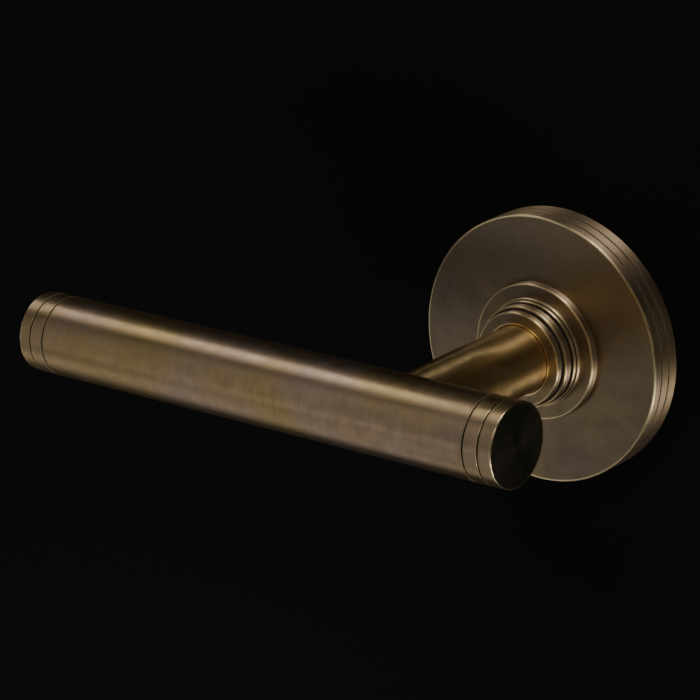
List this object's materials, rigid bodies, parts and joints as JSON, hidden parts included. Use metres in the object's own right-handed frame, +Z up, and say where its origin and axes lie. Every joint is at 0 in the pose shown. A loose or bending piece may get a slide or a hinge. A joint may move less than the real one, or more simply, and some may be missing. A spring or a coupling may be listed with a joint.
{
  "type": "door lever handle",
  "caption": "Sprung door lever with a straight round grip and round neck on a round stepped rose, with spindle and through-bolt fixing.",
  "frame": {"origin": "where the spindle's axis crosses the door's face, which is the plane Y = 0", "axes": "+Z up; +Y goes into the door along the spindle; the handle stands out towards -Y and its grip points to -X"},
  "size_m": [0.1297, 0.1162, 0.06],
  "materials": {
    "aged_brass": "aged, satin brushed, edges worn bright",
    "plain_brass": "as machined",
    "zinc_plated_steel": "zinc plated",
    "cast_zinc": "dull, as cast",
    "spring_steel": "drawn wire, lightly oiled",
    "acetal": "moulded natural white"
  },
  "bodies": {
    "rose": {"rose_cover": "aged_brass", "rose_disc": "aged_brass", "stepped_collar": "aged_brass", "neck_bush": "acetal", "mounting_plate": "cast_zinc", "plate_bush": "acetal", "thrust_washer": "zinc_plated_steel", "support_sleeves": "zinc_plated_steel", "through_bolts": "zinc_plated_steel", "wood_screws": "zinc_plated_steel", "cover_grub_screw": "zinc_plated_steel", "return_spring": "spring_steel"},
    "lever": {"grip_tube": "aged_brass", "grip_cap_near": "aged_brass", "grip_cap_far": "aged_brass", "grip_insert": "plain_brass", "joining_stud": "zinc_plated_steel", "neck": "aged_brass", "drive_plate": "zinc_plated_steel", "retaining_ring": "zinc_plated_steel", "spindle": "zinc_plated_steel", "neck_grub_screw": "zinc_plated_steel"}
  },
  "joints": [
    {"name": "lever_turn", "type": "hinge", "parent": "rose", "child": "lever", "pos_m": [0, 0, 0], "axis": [0, -1, 0], "range_deg": [0, 50], "stiffness_Nm_per_rad": 0.23, "springref_deg": -51.57, "deforming": ["return_spring"]}
  ]
}
